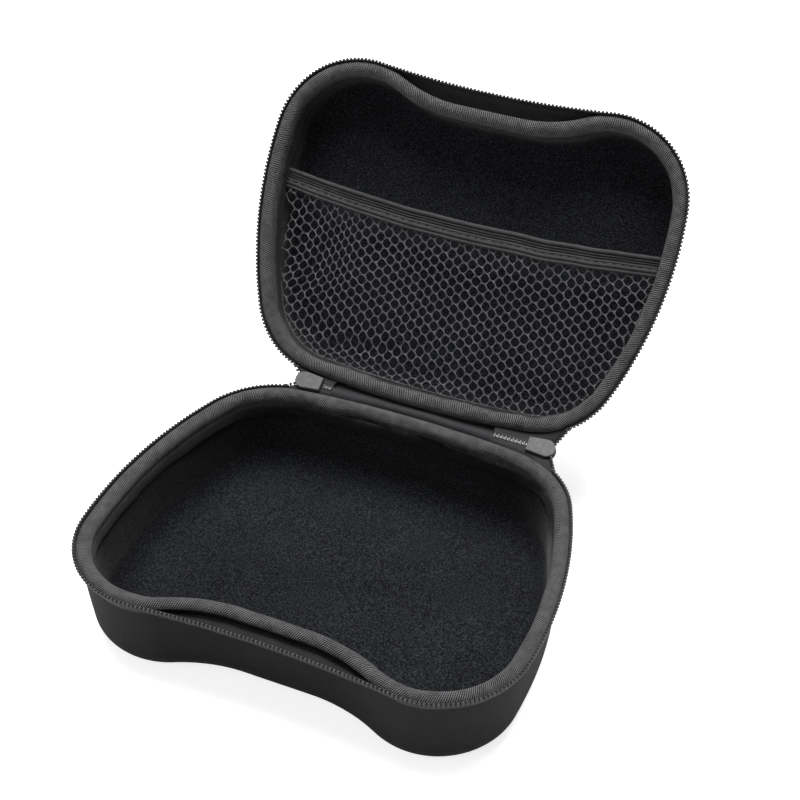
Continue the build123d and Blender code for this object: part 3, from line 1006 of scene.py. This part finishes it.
def makeCords(lattice):
    # the net's thicker links, raised towards the lid's mouth
    bm = lattice.copy()
    bmesh.ops.delete(bm, geom=bm.faces[:], context="FACES_ONLY")
    bmesh.ops.delete(bm, geom=[edge for edge in bm.edges if edge.seam], context="EDGES")
    raised = bmesh.ops.extrude_edge_only(bm, edges=bm.edges[:])["geom"]
    depth = pocketLook["depth"]
    towardsMouth = inCase("lid", 0, 0, depth - netLook["cordRise"]) - inCase("lid", 0, 0, depth)
    tops = [item for item in raised if isinstance(item, bmesh.types.BMVert)]
    bmesh.ops.translate(bm, vec=towardsMouth, verts=tops)
    bmesh.ops.dissolve_degenerate(bm, dist=1e-5, edges=bm.edges)
    bmesh.ops.recalc_face_normals(bm, faces=bm.faces)
    return bm


def roundOff(piece):
    rounding = piece.modifiers.new("Rounding", "SUBSURF")
    rounding.levels = 1
    rounding.render_levels = 1


lattice = makeNet()
netCords = addPiece("PocketNetCords", makeCords(lattice), "lid", netFinish, ["pocket_net"])
thicken(netCords, netLook["cord"], 0.0, even=False)
roundOff(netCords)
net = addPiece("PocketNet", lattice, "lid", netFinish, ["pocket_net"])
threads = net.modifiers.new("Cord", "WIREFRAME")
threads.thickness = netLook["thread"] / 1000
threads.use_even_offset = False
threads.use_boundary = True
threads.use_replace = True
roundOff(net)
print("pocket made")


# sliders and pulls keep their own meshes
for name in ("left_slider", "right_slider", "left_pull", "right_pull"):
    nodes[name].data.materials.clear()
    nodes[name].data.materials.append(enamelFinish)


# floor, light and camera
studioLook = {
    "world": 0.19, "floorGlow": 0.75, "floorTone": 0.8,
    "topPlace": (-0.1, 0.35, 1.5), "topSize": 1.2, "topPower": 31.0,
    "fillPlace": (-0.5, -1.1, 1.1), "fillSize": 1.0, "fillPower": 2.5, "lampTarget": (0, 0.03, 0.04),
    "azimuth": 19.43, "elevation": 40.06, "roll": 2.8, "distance": 0.598,
    "lens": 64.0, "shift": -0.0875, "target": (0.02087, 0.08384, 0.0444),
}


def makeFloor():
    bm = bmesh.new()
    bmesh.ops.create_grid(bm, x_segments=2, y_segments=2, size=4.0)
    mesh = bpy.data.meshes.new("StudioFloor")
    bm.to_mesh(mesh)
    bm.free()
    floor = bpy.data.objects.new("StudioFloor", mesh)
    bpy.context.scene.collection.objects.link(floor)
    finish = bpy.data.materials.new("FloorWhite")
    finish.use_nodes = True
    tree = finish.node_tree
    path = addNode(tree, "ShaderNodeLightPath")
    seen = calc(tree, "MAXIMUM", path.outputs["Is Camera Ray"], path.outputs["Is Glossy Ray"])
    inputs = {0: seen, 6: (*[studioLook["floorTone"]] * 3, 1), 7: (1.0, 1.0, 1.0, 1)}
    tone = addNode(tree, "ShaderNodeMix", inputs, data_type="RGBA")
    glow = calc(tree, "MULTIPLY", path.outputs["Is Camera Ray"], studioLook["floorGlow"])
    shader = tree.nodes["Principled BSDF"]
    shader.inputs["Roughness"].default_value = 1.0
    shader.inputs["Specular IOR Level"].default_value = 0.0
    shader.inputs["Emission Color"].default_value = (1, 1, 1, 1)
    tree.links.new(tone.outputs[2], shader.inputs["Base Color"])
    tree.links.new(glow, shader.inputs["Emission Strength"])
    mesh.materials.append(finish)


def addLamp(name, spot, size, power):
    lamp = bpy.data.lights.new(name, "AREA")
    lamp.shape = "DISK"
    lamp.size = size
    lamp.energy = power
    holder = bpy.data.objects.new(name, lamp)
    bpy.context.scene.collection.objects.link(holder)
    holder.location = spot
    aim = Vector(studioLook["lampTarget"]) - Vector(spot)
    holder.rotation_euler = aim.to_track_quat("-Z", "Y").to_euler()


def makeWorld():
    world = bpy.data.worlds.new("StudioWorld")
    bpy.context.scene.world = world
    world.use_nodes = True
    tree = world.node_tree
    path = addNode(tree, "ShaderNodeLightPath")
    seen = calc(tree, "MAXIMUM", path.outputs["Is Camera Ray"], path.outputs["Is Transmission Ray"])
    level = studioLook["world"]
    strength = calc(tree, "ADD", calc(tree, "MULTIPLY", seen, 1.0 - level), level)
    tree.links.new(strength, tree.nodes["Background"].inputs["Strength"])
    tree.nodes["Background"].inputs["Color"].default_value = (1, 1, 1, 1)


def makeCamera():
    look = studioLook
    azimuth, elevation, roll = (radians(look[key]) for key in ("azimuth", "elevation", "roll"))
    back = Vector((sin(azimuth) * cos(elevation), -cos(azimuth) * cos(elevation), sin(elevation)))
    right = Vector((cos(azimuth), sin(azimuth), 0))
    up = back.cross(right)
    turnedRight = right * cos(roll) + up * sin(roll)
    turnedUp = up * cos(roll) - right * sin(roll)
    data = bpy.data.cameras.new("StudioCamera")
    data.lens = look["lens"]
    data.sensor_width = 36.0
    data.shift_x = look["shift"]
    data.clip_start = 0.01
    camera = bpy.data.objects.new("StudioCamera", data)
    bpy.context.scene.collection.objects.link(camera)
    turn = Matrix((turnedRight, turnedUp, back)).transposed().to_4x4()
    camera.matrix_world = Matrix.Translation(Vector(look["target"]) + back * look["distance"]) @ turn
    bpy.context.scene.camera = camera


makeFloor()
makeWorld()
addLamp("TopLamp", studioLook["topPlace"], studioLook["topSize"], studioLook["topPower"])
addLamp("FillLamp", studioLook["fillPlace"], studioLook["fillSize"], studioLook["fillPower"])
makeCamera()
bpy.context.scene.view_settings.view_transform = "Standard"
print("studio made")

bpy.context.view_layer.update()
